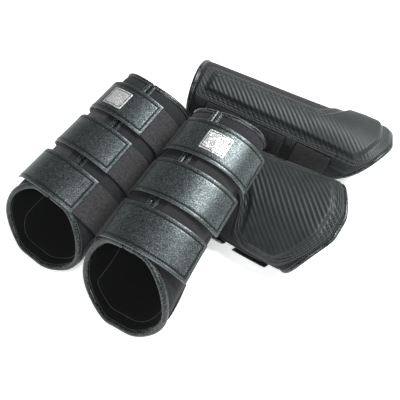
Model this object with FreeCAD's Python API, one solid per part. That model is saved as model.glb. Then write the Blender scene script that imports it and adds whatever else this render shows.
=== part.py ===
import FreeCAD, Part

import math
import os

# A pile of four closed tendon boots: two mirror-image pairs of one design.
# Each boot has its own coordinates: an angle round the leg, a height along the leg and an
# offset out from the neoprene's outer face. The closure seam is at 0 degrees, the middle of
# the strike pad is near 180 degrees, and height 0 is the lowest edge, over the fetlock.

# ---- driving dimensions of one boot, in millimetres and degrees ----
BOOT_HEIGHT = 245.0
SEAM_RISE = 57.0            # how much higher the lower edge is at the seam
RISE_ANGLES = (20.0, 150.0)  # how far round from the pad's middle the lower edge rises
COLLAR_DIP = 10.0           # how much lower the top edge is at the seam
STATIONS = (0.0, 90.0, 245.0)
HALF_WIDTHS = (57.0, 50.5, 45.0)
HALF_DEPTHS = (34.5, 36.5, 30.5)
SECTION_POWER = 2.2
MOUTH_POINT = 0.05          # how far the mouth comes to a point at the seam
UPPER_POINT = 0.01          # and above the lower strap
WIDENING = 0.6              # how much a flattened section widens
SQUASH_HEIGHTS = (0.0, 90.0, 165.0, 245.0)
EASING = (-16.0, -8.0, 0.0, 8.0, 16.0)

SHELL_THICKNESS = 5.0
LINING_THICKNESS = 1.0
LAYER_GAP = 0.25
BINDING_WIDTH = 5.0
BINDING_PROUD = 0.8
SEAM_HALF_GAP = 1.2

STRAP_NAMES = ("lower", "middle", "upper")
STRAP_START = 59.0          # lower edge of the lower strap
STRAP_PITCH = 56.7
STRAP_WIDTH = 44.3
SEWN_ANGLE = 44.0           # where each tab is sewn to its elastic
FREE_ANGLES = (-85.5, -92.0, -98.5)
TAB_OFFSET = 2.7
TAB_THICKNESS = 2.0
ELASTIC_OFFSET = 1.0         # clear of the binding that stands proud of the neoprene
ELASTIC_THICKNESS = 1.35
ELASTIC_OVERLAP = 12.0      # degrees of elastic under the tab's sewn edge
HOOK_OFFSET = 1.45
HOOK_THICKNESS = 0.9
HOOK_SPAN = 50.0            # degrees of hook pad behind the free end
HOOK_INSET = 3.0
LOOP_OFFSET = 0.6
LOOP_THICKNESS = 0.55
LOOP_SPAN = (-91.0, -22.0)
LOOP_EDGE_GAP = 1.0         # from the panel to the binding of the lower edge
BADGE_ANGLE = -30.0
BADGE_SIZE = 24.0
BADGE_OFFSET = 4.85
BADGE_THICKNESS = 0.8

PAD_STRAIGHT_ANGLE = 102.0
PAD_TOP = 234.0
PAD_EDGE_INSET = 5.8
PAD_OFFSET = 0.45
PAD_RIM = 1.8
PAD_RISE = 4.2
PAD_RIM_WIDTH = 7.0
PAD_STEP_WIDTH = 4.5

# How many points each curved surface is drawn through, round the leg and along it.
WRAP_POINTS = (73, 33)
PAD_POINTS = (25, 27)
LOOP_POINTS = (31, 12)
TAB_POINTS = (41, 9)
SHORT_POINTS = (17, 9)      # elastics and hook pads
BADGE_POINTS = (5, 5)

# ---- how each boot lies in the pile ----
# at: the middle of its axis. turn: yaw, pitch and roll. hand: which side the straps come
# from. up: whether the closure faces up or down. squash: how far it is flattened, at each
# of SQUASH_HEIGHTS. tilt: how far the mouth sits back, away from the seam.
# pad: angle of the pad's far edge near its top and at its lobe. flare: the heights between
# which it widens; the hind pads widen lower down.
AXIS_MIDDLE = 120.0
LAYOUT = {
    "front_right": {
        "at": (-101.62, -87.69, 75.25), "turn": (84.36, 18.5, 11.25),
        "hand": -1, "up": 1, "size": 1.0,
        "squash": (0.0, 0.0, 0.0, 0.0), "tilt": -0.084,
        "pad": (172.0, 250.0), "flare": (85.0, 135.0),
    },
    "hind_left": {
        "at": (13.09, -96.21, 76.2), "turn": (91.52, 16.67, -9.35),
        "hand": 1, "up": 1, "size": 1.045,
        "squash": (-0.016, -0.04, -0.04, -0.04), "tilt": -0.084,
        "pad": (168.0, 250.0), "flare": (50.0, 100.0),
    },
    "hind_right": {
        "at": (33.6, 121.18, 56.0), "turn": (193.4, 14.2, 17.0),
        "hand": -1, "up": -1, "size": 1.045,
        "squash": (0.073, -0.124, -0.124, -0.124), "tilt": -0.39,
        "pad": (168.0, 250.0), "flare": (50.0, 100.0),
    },
    "front_left": {
        "at": (47.54, 8.05, 33.95), "turn": (179.2, -0.4, -17.8),
        "hand": 1, "up": -1, "size": 1.0,
        "squash": (0.144, 0.36, 0.36, 0.126), "tilt": -0.084,
        "pad": (195.0, 266.0), "flare": (85.0, 135.0),
    },
}
Vector = FreeCAD.Vector


# ---- the boot's own coordinates ----
def along_lines(stations, values, height):
    """Value at a height, from straight lines between the stations."""
    if height <= stations[0]:
        return values[0]
    for low, high, start, end in zip(stations, stations[1:], values, values[1:]):
        if height <= high:
            return start + (end - start) * (height - low) / (high - low)
    return values[-1]


def between(stations, values, height):
    """The same with its corners eased, so that the surfaces have no kinks."""
    near = [along_lines(stations, values, height + shift) for shift in EASING]
    return sum(near) / len(near)


def section_radius(boot, angle, height):
    """Distance from the boot's axis to the neoprene's outer face."""
    squash = between(SQUASH_HEIGHTS, boot["squash"], height)
    half_width = between(STATIONS, HALF_WIDTHS, height) * (1 + WIDENING * squash)
    half_depth = between(STATIONS, HALF_DEPTHS, height) * (1 - squash)
    tilt = between(STATIONS, (boot["tilt"], 0.0, 0.0), height)
    point = between(STATIONS, (MOUTH_POINT, UPPER_POINT, UPPER_POINT), height)
    turn = math.radians(angle)
    across = (abs(math.sin(turn)) / half_width) ** SECTION_POWER
    through = (abs(math.cos(turn)) / half_depth) ** SECTION_POWER
    oval = (across + through) ** (-1 / SECTION_POWER)
    return oval * (1 + tilt * math.cos(turn) + point * math.cos(3 * turn))


def lower_edge(angle):
    """Height of the lower edge: low over the fetlock, high and level at the seam."""
    low, high = RISE_ANGLES
    from_pad = abs(angle % 360 - 180)
    share = min(max((from_pad - low) / (high - low), 0.0), 1.0)
    return SEAM_RISE * share * share * (3 - 2 * share)


def top_edge(angle):
    return BOOT_HEIGHT - COLLAR_DIP * (1 + math.cos(math.radians(angle))) / 2


def boot_axes(boot):
    """Directions along the boot, out through its seam, and sideways towards the straps."""
    yaw, pitch, roll = boot["turn"]
    level = FreeCAD.Rotation(Vector(0, 0, 1), yaw).multVec(Vector(1, 0, 0))
    side = Vector(0, 0, 1).cross(level)
    along = level * math.cos(math.radians(pitch)) + Vector(0, 0, math.sin(math.radians(pitch)))
    outward = along.cross(side) * boot["up"]
    outward = FreeCAD.Rotation(along, roll).multVec(outward)
    sideways = along.cross(outward) * -boot["hand"]
    return along, outward, sideways


def place(boot, angle, height, offset):
    """The point in the part's frame for a place on the boot."""
    along, outward, sideways = boot_axes(boot)
    radius = section_radius(boot, angle, height) + offset
    turn = math.radians(angle)
    local = sideways * (radius * math.sin(turn)) + outward * (radius * math.cos(turn))
    local += along * (height - AXIS_MIDDLE)
    return Vector(*boot["at"]) + local * boot["size"]


def spread(start, end, count):
    return [start + (end - start) * i / (count - 1) for i in range(count)]


# ---- curved plates between two matching surfaces ----
def surface_through(points):
    surface = Part.BSplineSurface()
    surface.interpolate(points)
    return surface


def border(surface, side):
    u_low, u_high, v_low, v_high = surface.bounds()
    if side in ("first", "last"):
        return surface.uIso(u_low if side == "first" else u_high).toShape()
    return surface.vIso(v_low if side == "start" else v_high).toShape()


def closed_solid(faces):
    shell = Part.makeShell(faces)
    shell.sewShape()
    solid = Part.makeSolid(Part.Shell(shell.Faces))
    if solid.Volume < 0:
        solid.reverse()
    return solid


def plate(inner_points, outer_points):
    """A closed solid with an inner face, an outer face and four ruled sides."""
    inner = surface_through(inner_points)
    outer = surface_through(outer_points)
    faces = [inner.toShape(), outer.toShape()]
    for side in ("first", "last", "start", "end"):
        faces.append(Part.makeRuledSurface(border(inner, side), border(outer, side)))
    return closed_solid(faces)


def wrapped_plate(boot, angles, low, high, inner, outer, rows):
    """A plate on the boot between two edges, which are functions of the angle."""
    grids = []
    for offset in (inner, outer):
        grid = []
        for angle in angles:
            heights = spread(low(angle), high(angle), rows)
            grid.append([place(boot, angle, h, offset(angle, h)) for h in heights])
        grids.append(grid)
    return plate(*grids)


def steady(value):
    return lambda *place_on_boot: value


def degrees_for(boot, length, angle=0.0, height=BOOT_HEIGHT / 2):
    """The angle that an arc of this length spans."""
    return math.degrees(length / section_radius(boot, angle, height))


# ---- the pieces of one boot ----
def wrap_layer(boot, inner, outer, inset):
    """A C-shaped layer of the wrap, inset from the whole edge."""
    gap = degrees_for(boot, SEAM_HALF_GAP + inset)
    columns, rows = WRAP_POINTS
    angles = spread(gap, 360 - gap, columns)
    low = lambda angle: lower_edge(angle) + inset
    high = lambda angle: top_edge(angle) - inset
    return wrapped_plate(boot, angles, low, high, steady(inner), steady(outer), rows)


def make_shell(boot):
    return wrap_layer(boot, -SHELL_THICKNESS, 0.0, BINDING_WIDTH + LAYER_GAP)


def make_lining(boot):
    outer = -SHELL_THICKNESS - LAYER_GAP
    return wrap_layer(boot, outer - LINING_THICKNESS, outer, BINDING_WIDTH + 2 * LAYER_GAP)


def binding_bar(boot, start, end, count, place_edge):
    """Four faces of one side of the binding, ruled between its four long edges."""
    inside = -SHELL_THICKNESS - LAYER_GAP - LINING_THICKNESS
    edges = []
    for inset, offset in ((0, inside), (0, BINDING_PROUD), (1, BINDING_PROUD), (1, inside)):
        points = [place(boot, *place_edge(step, inset), offset) for step in spread(start, end, count)]
        curve = Part.BSplineCurve()
        curve.interpolate(points)
        edges.append(curve.toShape())
    return [Part.makeRuledSurface(edges[i - 1], edges[i]) for i in range(4)]


def make_edge_binding(boot):
    """Tape sewn round the whole edge of the wrap, with mitred corners at the seam."""
    outer_gap = degrees_for(boot, SEAM_HALF_GAP)
    inner_gap = degrees_for(boot, SEAM_HALF_GAP + BINDING_WIDTH)

    def corner_angle(share, inset):
        gap = outer_gap + (inner_gap - outer_gap) * inset
        return gap + (360 - 2 * gap) * share

    def lower_bar(share, inset):
        angle = corner_angle(share, inset)
        return angle, lower_edge(angle) + BINDING_WIDTH * inset

    def top_bar(share, inset):
        angle = corner_angle(share, inset)
        return angle, top_edge(angle) - BINDING_WIDTH * inset

    def seam_bar(side):
        def bar(share, inset):
            angle = corner_angle(side, inset)
            low = lower_edge(angle) + BINDING_WIDTH * inset
            high = top_edge(angle) - BINDING_WIDTH * inset
            return angle, low + (high - low) * share
        return bar

    round_count, along_count = WRAP_POINTS
    faces = binding_bar(boot, 0, 1, round_count, lower_bar)
    faces += binding_bar(boot, 0, 1, round_count, top_bar)
    for side in (0, 1):
        faces += binding_bar(boot, 0, 1, along_count, seam_bar(side))
    return closed_solid(faces)


def pad_far_edge(boot, height):
    """Angle of the pad's far edge: narrow above, flared over the fetlock."""
    (low, high), (narrow, lobe) = boot["flare"], boot["pad"]
    share = min(max((height - low) / (high - low), 0.0), 1.0)
    ease = share * share * (3 - 2 * share)
    return lobe + (narrow - lobe) * ease


def make_strike_pad(boot):
    """Moulded pad: a flat sewn rim, a step, and a raised centre."""
    columns, rows = PAD_POINTS
    grids = [[], []]
    for share in spread(0, 1, columns):
        lines = [[], []]
        for rise in spread(0, 1, rows):
            rough_height = PAD_TOP * rise
            angle = PAD_STRAIGHT_ANGLE + (pad_far_edge(boot, rough_height) - PAD_STRAIGHT_ANGLE) * share
            low = lower_edge(angle) + PAD_EDGE_INSET
            height = low + (PAD_TOP - low) * rise
            span = math.radians(pad_far_edge(boot, height) - PAD_STRAIGHT_ANGLE)
            width = span * section_radius(boot, angle, height)
            to_edge = min(share * width, (1 - share) * width, height - low, PAD_TOP - height)
            step = min(max((to_edge - PAD_RIM_WIDTH) / PAD_STEP_WIDTH, 0.0), 1.0)
            lines[0].append(place(boot, angle, height, PAD_OFFSET))
            lines[1].append(place(boot, angle, height, PAD_OFFSET + PAD_RIM + PAD_RISE * step))
        for grid, line in zip(grids, lines):
            grid.append(line)
    return plate(*grids)


def band(boot, span, counts, low, high, inner, thickness):
    """A plate between two angles and two heights."""
    edges = steady(low), steady(high)
    angles = spread(*span, counts[0])
    return wrapped_plate(boot, angles, *edges, steady(inner), steady(inner + thickness), counts[1])


def make_loop_panel(boot):
    """Pile patch that the hook pads grip, kept clear of the binding of the lower edge."""
    low = SEAM_RISE + BINDING_WIDTH + LOOP_EDGE_GAP
    top = STRAP_START + 2 * STRAP_PITCH + STRAP_WIDTH
    return band(boot, LOOP_SPAN, LOOP_POINTS, low, top, LOOP_OFFSET, LOOP_THICKNESS)


def strap_edges(index):
    low = STRAP_START + STRAP_PITCH * index
    return low, low + STRAP_WIDTH


def make_elastic(boot, index):
    """Runs from the pad's straight edge to under the tab's sewn edge."""
    low, high = strap_edges(index)
    end = PAD_STRAIGHT_ANGLE - degrees_for(boot, LAYER_GAP * 2, 90.0)
    span = SEWN_ANGLE - ELASTIC_OVERLAP, end
    return band(boot, span, SHORT_POINTS, low + 1, high - 1, ELASTIC_OFFSET, ELASTIC_THICKNESS)


def make_tab(boot, index):
    low, high = strap_edges(index)
    span = FREE_ANGLES[index], SEWN_ANGLE
    return band(boot, span, TAB_POINTS, low, high, TAB_OFFSET, TAB_THICKNESS)


def make_hook_pad(boot, index):
    low, high = strap_edges(index)
    start = FREE_ANGLES[index] + degrees_for(boot, HOOK_INSET, 90.0)
    span = start, start + HOOK_SPAN
    edges = low + HOOK_INSET, high - HOOK_INSET
    return band(boot, span, SHORT_POINTS, *edges, HOOK_OFFSET, HOOK_THICKNESS)


def make_badge(boot):
    low, high = strap_edges(2)
    half = degrees_for(boot, BADGE_SIZE / 2, BADGE_ANGLE, 200.0)
    middle = (low + high) / 2
    span = BADGE_ANGLE - half, BADGE_ANGLE + half
    edges = middle - BADGE_SIZE / 2, middle + BADGE_SIZE / 2
    return band(boot, span, BADGE_POINTS, *edges, BADGE_OFFSET, BADGE_THICKNESS)


def boot_pieces(boot):
    """Every piece of one boot, by name."""
    pieces = {
        "shell": make_shell(boot),
        "lining": make_lining(boot),
        "edge_binding": make_edge_binding(boot),
        "strike_pad": make_strike_pad(boot),
        "loop_panel": make_loop_panel(boot),
        "badge": make_badge(boot),
    }
    for index, name in enumerate(STRAP_NAMES):
        pieces[name + "_elastic"] = make_elastic(boot, index)
        pieces[name + "_tab"] = make_tab(boot, index)
        pieces[name + "_hook_pad"] = make_hook_pad(boot, index)
    return pieces


def hinge_line(boot, index):
    """Two points at mid-thickness of a tab's sewn edge, and one at its free end."""
    low, high = strap_edges(index)
    offset = TAB_OFFSET + TAB_THICKNESS / 2
    start = place(boot, SEWN_ANGLE, low, offset)
    end = place(boot, SEWN_ANGLE, high, offset)
    free = place(boot, FREE_ANGLES[index], (low + high) / 2, offset)
    return start, end, free


def main():
    os.makedirs("parts", exist_ok=True)
    box = FreeCAD.BoundBox()
    for boot_name, boot in LAYOUT.items():
        for piece_name, piece in boot_pieces(boot).items():
            if not piece.isValid() or not piece.isClosed():
                print("check", boot_name, piece_name)
            piece.exportStep(f"parts/{boot_name}_{piece_name}.step")
            box.add(piece.optimalBoundingBox(True, False))
    print("box", box)


if __name__ == "__main__":
    main()
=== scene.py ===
import math

import bpy
import numpy as np
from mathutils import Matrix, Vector


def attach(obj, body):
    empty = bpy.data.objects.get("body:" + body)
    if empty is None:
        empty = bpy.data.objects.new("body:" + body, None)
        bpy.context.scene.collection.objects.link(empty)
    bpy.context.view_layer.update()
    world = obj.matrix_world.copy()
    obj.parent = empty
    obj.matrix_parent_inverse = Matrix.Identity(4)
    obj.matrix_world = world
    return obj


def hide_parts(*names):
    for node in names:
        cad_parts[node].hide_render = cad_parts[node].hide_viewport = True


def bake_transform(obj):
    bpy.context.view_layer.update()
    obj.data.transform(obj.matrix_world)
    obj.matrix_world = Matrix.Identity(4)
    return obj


# Looks of a pile of four closed tendon boots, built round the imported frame.
# Every piece is drawn in its boot's own coordinates: an angle round the leg in degrees, a
# height along the leg and an offset out from the neoprene's outer face, in millimetres.
# The closure seam is at 0 degrees and height 0 is the lowest edge, over the fetlock.

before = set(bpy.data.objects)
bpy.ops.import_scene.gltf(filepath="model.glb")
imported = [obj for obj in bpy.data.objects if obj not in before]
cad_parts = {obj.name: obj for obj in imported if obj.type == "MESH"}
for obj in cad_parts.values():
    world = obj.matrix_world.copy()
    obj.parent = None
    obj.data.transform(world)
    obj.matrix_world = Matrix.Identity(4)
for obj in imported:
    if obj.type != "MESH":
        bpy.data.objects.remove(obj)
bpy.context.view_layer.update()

# ---- driving dimensions of one boot, the same as in the CAD source ----
MM = 0.001
BOOT_HEIGHT = 245.0
SEAM_RISE = 57.0
RISE_ANGLES = (20.0, 150.0)
COLLAR_DIP = 10.0
STATIONS = (0.0, 90.0, 245.0)
HALF_WIDTHS = (57.0, 50.5, 45.0)
HALF_DEPTHS = (34.5, 36.5, 30.5)
SECTION_POWER = 2.2
MOUTH_POINT = 0.05
UPPER_POINT = 0.01
WIDENING = 0.6
SQUASH_HEIGHTS = (0.0, 90.0, 165.0, 245.0)
EASING = (-16.0, -8.0, 0.0, 8.0, 16.0)
AXIS_MIDDLE = 120.0

SHELL_THICKNESS = 5.0
LINING_OFFSET = -6.25       # the lining's inner face

STRAP_NAMES = ("lower", "middle", "upper")
STRAP_START = 59.0
STRAP_PITCH = 56.7
STRAP_WIDTH = 44.3
SEWN_ANGLE = 44.0
FREE_ANGLES = (-85.5, -92.0, -98.5)
TAB_OFFSET = 2.7
TAB_THICKNESS = 2.0
ELASTIC_OFFSET = 1.0
ELASTIC_THICKNESS = 1.35
ELASTIC_OVERLAP = 12.0
HOOK_OFFSET = 1.45
HOOK_THICKNESS = 0.9
HOOK_SPAN = 50.0
HOOK_INSET = 3.0
LOOP_OFFSET = 0.6
LOOP_THICKNESS = 0.55
LOOP_SPAN = (-91.0, -22.0)
BADGE_ANGLE = -30.0
BADGE_SIZE = 24.0
BADGE_OFFSET = 4.85
BADGE_THICKNESS = 0.8

PAD_STRAIGHT_ANGLE = 102.0
PAD_TOP = 234.0
PAD_EDGE_INSET = 5.8
PAD_OFFSET = 0.45
PAD_RIM = 1.8
PAD_RISE = 4.2

# How each boot lies in the pile, the same as in the CAD source.
LAYOUT = {
    "front_right": {
        "at": (-101.62, -87.69, 75.25), "turn": (84.36, 18.5, 11.25),
        "hand": -1, "up": 1, "size": 1.0,
        "squash": (0.0, 0.0, 0.0, 0.0), "tilt": -0.084,
        "pad": (172.0, 250.0), "flare": (85.0, 135.0),
    },
    "hind_left": {
        "at": (13.09, -96.21, 76.2), "turn": (91.52, 16.67, -9.35),
        "hand": 1, "up": 1, "size": 1.045,
        "squash": (-0.016, -0.04, -0.04, -0.04), "tilt": -0.084,
        "pad": (168.0, 250.0), "flare": (50.0, 100.0),
    },
    "hind_right": {
        "at": (33.6, 121.18, 56.0), "turn": (193.4, 14.2, 17.0),
        "hand": -1, "up": -1, "size": 1.045,
        "squash": (0.073, -0.124, -0.124, -0.124), "tilt": -0.39,
        "pad": (168.0, 250.0), "flare": (50.0, 100.0),
    },
    "front_left": {
        "at": (47.54, 8.05, 33.95), "turn": (179.2, -0.4, -17.8),
        "hand": 1, "up": -1, "size": 1.0,
        "squash": (0.144, 0.36, 0.36, 0.126), "tilt": -0.084,
        "pad": (195.0, 266.0), "flare": (85.0, 135.0),
    },
}

# ---- finer sizes that only the looks need, in millimetres ----
SEAM_HALF_GAP = 0.2         # the closed edges all but touch
FOAM_SINK = 0.9             # how much lower the foam's face is where the binding grips it
FOAM_SWELL = 9.0            # from the binding's stitches to the foam's full height
FOAM_PINCH = 0.3            # and how much its inner face is drawn in there
FOAM_RIPPLE = 0.25
LINING_SINK = 0.6
LINING_SWELL = 7.0
LINING_RIPPLE = 0.2
OUTLINE_SPACING = 2.0       # between the points of the wrap's edge
BINDING_PROUD = 0.8
BINDING_LEG = 6.2           # how far the binding reaches in from the edge
BINDING_CORNER = 5.0        # smoothing of its corners
BINDING_STITCH = 4.9        # from the edge to its row of stitches
THREAD_RADIUS = 0.48
STITCH_PITCH = 2.5
STITCH_LENGTH = 1.8
TAB_CORNER = 2.5
FREE_LIFTS = {"front_right": 3.5, "hind_left": 6.0, "hind_right": 1.5, "front_left": 1.5}
LIFT_REACH = 46.0           # how far back from its free end a tab lifts
TAB_STITCH = 4.6            # from the edge to the tab's row of stitches
TAB_GROOVE = 0.35           # depth of the groove that the stitches make
TAB_WAVE = 0.07
TAB_WAVE_LENGTHS = (11.0, 9.0)
TAB_BEND = 26.0             # how far from its sewn end an open tab bends
ELASTIC_INSET = 1.0         # how much narrower an elastic is than its tab, on each side
ELASTIC_END_GAP = 0.4       # degrees between an elastic and the pad's straight edge
ELASTIC_RIPPLE = 0.12
ELASTIC_RIPPLE_PITCH = 7.5
LOOP_LOW_MARGIN = 5.0       # from the lower strap's edge to the loop patch
LOOP_CORNER = 6.0
LOOP_SINK = 0.2             # how far the loop patch sits in the neoprene
BADGE_STITCH = 2.0          # from the edge to its stitches, and their pitch
BADGE_SINK = 0.3
BADGE_CORNER = 1.2
BADGE_LEVEL = 200.0         # height at which the badge's width is turned into degrees
PAD_FINGER = 9.5            # how far the pad reaches out between the elastics
PAD_SLOT_MARGIN = 0.8
PAD_SPACING = 1.1           # of its grid along the boot
PAD_BASE = 100.0            # nominal width in which its corners are rounded
PAD_CORNERS = (12.0, 24.0, 10.0, 14.0)   # low straight, low far, top straight, top far
PAD_RIM_WIDTH = 10.0        # wider than the CAD's, to hold three rows of stitches
PAD_STEP_WIDTH = 6.0
PAD_STEP_LESS = 0.5         # the step stops short of the CAD's, and the crown makes it up
PAD_EDGE_HEIGHT = 0.2       # where its outer and inner faces meet
PAD_CROWN = 0.9
PAD_CROWN_WIDTH = 34.0
PAD_STITCHES = (2.4, 5.2, 8.0)
ROW_DEPTH = 0.55            # of the groove under each row of the pad's stitches
GROOVE_WIDTH = 0.8          # of the grooves under stitches, in the pad and the tabs
LINING_SEAM = 9.0           # from the pad's edge to the seam that shows inside the boot
LINING_GROOVE = 0.9
LINING_GROOVE_WIDTH = 1.6
LINING_THREAD = 0.75        # how far out from the lining's face its thread lies
RIB_PITCH = 4.6
RIB_HEIGHT = 0.36
RIM_RIB_HEIGHT = 0.32
RIB_BLEND = 5.0             # width over which the rim's ribs change to the centre's
RIB_END = 3.0               # ribs fade out this close to the pad's edge
RIB_SLANT = 1.1             # how far the ribs run along the boot for each mm across it
MM_PER_DEGREE = math.pi / 180 * HALF_WIDTHS[1]   # round the leg, for flat coordinates


# ---- the boot's own coordinates ----
def turned(vector, axis, degrees):
    """A vector turned about an axis."""
    turn = math.radians(degrees)
    around = np.cross(axis, vector) * math.sin(turn)
    return vector * math.cos(turn) + around + axis * (axis @ vector) * (1 - math.cos(turn))


def boot_axes(boot):
    """Directions along the boot, out through its seam, and sideways towards the straps."""
    yaw, pitch, roll = boot["turn"]
    up = np.array((0.0, 0.0, 1.0))
    level = turned(np.array((1.0, 0.0, 0.0)), up, yaw)
    along = level * math.cos(math.radians(pitch)) + up * math.sin(math.radians(pitch))
    outward = np.cross(along, np.cross(up, level)) * boot["up"]
    outward = turned(outward, along, roll)
    return along, outward, np.cross(along, outward) * -boot["hand"]


for boot_name, boot in LAYOUT.items():
    boot["axes"] = boot_axes(boot)
    boot["lift"] = FREE_LIFTS[boot_name]


def between(stations, values, height):
    """Values at heights, from straight lines between the stations with their corners eased."""
    return sum(np.interp(height + shift, stations, values) for shift in EASING) / len(EASING)


def section_radius(boot, angle, height):
    """Distance from the boot's axis to the neoprene's outer face."""
    squash = between(SQUASH_HEIGHTS, boot["squash"], height)
    half_width = between(STATIONS, HALF_WIDTHS, height) * (1 + WIDENING * squash)
    half_depth = between(STATIONS, HALF_DEPTHS, height) * (1 - squash)
    tilt = between(STATIONS, (boot["tilt"], 0.0, 0.0), height)
    point = between(STATIONS, (MOUTH_POINT, UPPER_POINT, UPPER_POINT), height)
    turn = np.radians(angle)
    across = (np.abs(np.sin(turn)) / half_width) ** SECTION_POWER
    through = (np.abs(np.cos(turn)) / half_depth) ** SECTION_POWER
    oval = (across + through) ** (-1 / SECTION_POWER)
    return oval * (1 + tilt * np.cos(turn) + point * np.cos(3 * turn))


def place(boot, angle, height, offset):
    """Points in the row frame, in metres, for places on the boot."""
    angle, height, offset = np.broadcast_arrays(angle, height, offset)
    along, outward, sideways = boot["axes"]
    radius = section_radius(boot, angle, height) + offset
    turn = np.radians(angle)
    local = (radius * np.sin(turn))[..., None] * sideways
    local = local + (radius * np.cos(turn))[..., None] * outward
    local = local + (height - AXIS_MIDDLE)[..., None] * along
    return (np.array(boot["at"]) + local * boot["size"]) * MM


def degrees_for(boot, length, angle, height):
    return np.degrees(length / section_radius(boot, angle, height))


def lower_edge(angle):
    """Height of the lower edge: low over the fetlock, high and level at the seam."""
    low, high = RISE_ANGLES
    return SEAM_RISE * smooth((np.abs(angle % 360 - 180) - low) / (high - low))


def top_edge(angle):
    return BOOT_HEIGHT - COLLAR_DIP * (1 + np.cos(np.radians(angle))) / 2


def strap_edges(index):
    low = STRAP_START + STRAP_PITCH * index
    return low, low + STRAP_WIDTH


# ---- meshes from grids of points ----
def quads(index):
    """Faces of a grid of vertex numbers."""
    corners = index[:-1, :-1], index[1:, :-1], index[1:, 1:], index[:-1, 1:]
    return np.stack([c.ravel() for c in corners], axis=1)


def mesh_object(name, points, faces, uv=None, rim=None):
    """An object of quads with its faces turned outwards, uv in millimetres, and the
    distance of each vertex from the piece's edge as the attribute "rim"."""
    corner = points[faces]
    first = np.einsum("ij,ij->i", corner[:, 0], np.cross(corner[:, 1], corner[:, 2]))
    second = np.einsum("ij,ij->i", corner[:, 0], np.cross(corner[:, 2], corner[:, 3]))
    if (first + second).sum() < 0:
        faces = faces[:, ::-1]
    mesh = bpy.data.meshes.new(name)
    mesh.from_pydata(points.tolist(), [], faces.tolist())
    if uv is not None:
        layer = mesh.uv_layers.new(name="surface")
        layer.data.foreach_set("uv", uv[faces.ravel()].astype(np.float32).ravel())
    if rim is not None:
        attribute = mesh.attributes.new("rim", "FLOAT", "POINT")
        attribute.data.foreach_set("value", rim.astype(np.float32))
    mesh.polygons.foreach_set("use_smooth", np.ones(len(faces), bool))
    mesh.update()
    made = bpy.data.objects.new(name, mesh)
    bpy.context.scene.collection.objects.link(made)
    return made


def plate(name, top, bottom, uv, rim):
    """A closed plate whose top and bottom grids share their border."""
    rows, columns = top.shape[:2]
    upper = np.arange(rows * columns).reshape(rows, columns)
    under = upper.copy()
    inside = (rows - 2) * (columns - 2)
    under[1:-1, 1:-1] = rows * columns + np.arange(inside).reshape(rows - 2, columns - 2)
    points = np.concatenate([top.reshape(-1, 3), bottom[1:-1, 1:-1].reshape(-1, 3)])
    faces = np.concatenate([quads(upper), quads(under)[:, ::-1]])
    uv = np.concatenate([uv.reshape(-1, 2), uv[1:-1, 1:-1].reshape(-1, 2)])
    rim = np.concatenate([rim.ravel(), rim[1:-1, 1:-1].ravel()])
    return mesh_object(name, points, faces, uv, rim)


def on_border(grid):
    """True on the outer rows and columns of a grid."""
    border = np.zeros_like(grid, bool)
    border[[0, -1], :] = True
    border[:, [0, -1]] = True
    return border


def swept(name, rings):
    """A closed tube from rings of points, joined last to first both ways."""
    count, around = rings.shape[:2]
    index = np.arange(count * around).reshape(count, around)
    index = np.vstack([index, index[:1]])
    index = np.hstack([index, index[:, :1]])
    return mesh_object(name, rings.reshape(-1, 3), quads(index))


def rounded(distance, radius):
    """Height of a rounded edge: 0 at the edge, 1 from the radius inwards."""
    share = np.clip(distance / radius, 0, 1)
    return np.sqrt(1 - (1 - share) ** 2)


def smooth(share):
    share = np.clip(share, 0, 1)
    return share * share * (3 - 2 * share)


def edge_lines(length, spacing, radius):
    """Grid lines across a length, close together at both ends."""
    near = radius * np.array((0.0, 0.1, 0.35, 0.65))
    count = max(2, round((length - 2 * radius) / spacing) + 1)
    middle = np.linspace(radius, length - radius, count)
    return np.concatenate([near, middle, length - near[::-1]])


def round_corners(x, y, length, width, radii):
    """Moves grid points so that the corners of a rectangle are round."""
    x, y = x.copy(), y.copy()
    signs = ((-1, -1), (1, -1), (-1, 1), (1, 1))
    for (side_x, side_y), radius in zip(signs, radii):
        centre_x = radius if side_x < 0 else length - radius
        centre_y = radius if side_y < 0 else width - radius
        out_x, out_y = (x - centre_x) * side_x, (y - centre_y) * side_y
        here = (out_x > 0) & (out_y > 0)
        share = np.maximum(out_x, out_y)[here] / np.hypot(out_x, out_y)[here]
        x[here] = centre_x + side_x * out_x[here] * share
        y[here] = centre_y + side_y * out_y[here] * share
    return x, y


def angle_at(boot, start, end, height, offset):
    """Arc length between two angles, and the function from arc length to angle."""
    angles = np.linspace(start, end, 300)
    points = place(boot, angles, height, offset) / MM
    steps = np.linalg.norm(np.diff(points, axis=0), axis=1)
    length = np.concatenate([[0], np.cumsum(steps)])
    return length[-1], lambda distance: np.interp(distance, length, angles)


def strip(name, boot, span, edges, offset, thickness, radii, relief=None, spacing=3.0):
    """A strip wrapped on the boot between two angles and two heights, with rounded edges.
    relief(x, y, edge) is added to its outer face."""
    low, high = edges
    length, to_angle = angle_at(boot, *span, (low + high) / 2, offset)
    width = (high - low) * boot["size"]
    roundness = thickness * 0.7
    x, y = np.meshgrid(edge_lines(length, spacing, roundness),
                       edge_lines(width, spacing, roundness), indexing="ij")
    edge = np.minimum(np.minimum(x, length - x), np.minimum(y, width - y))
    x, y = round_corners(x, y, length, width, radii)
    angle, height = to_angle(x), low + y / boot["size"]
    bulge = thickness / 2 * rounded(edge, roundness)
    lift = relief(x, y, edge, length, width) if relief else (0, 0)
    top = place(boot, angle, height, offset + thickness / 2 + bulge + lift[0])
    bottom = place(boot, angle, height, offset + thickness / 2 - bulge + lift[1])
    return plate(name, top, bottom, np.stack([x, y], axis=-1), edge)


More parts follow.
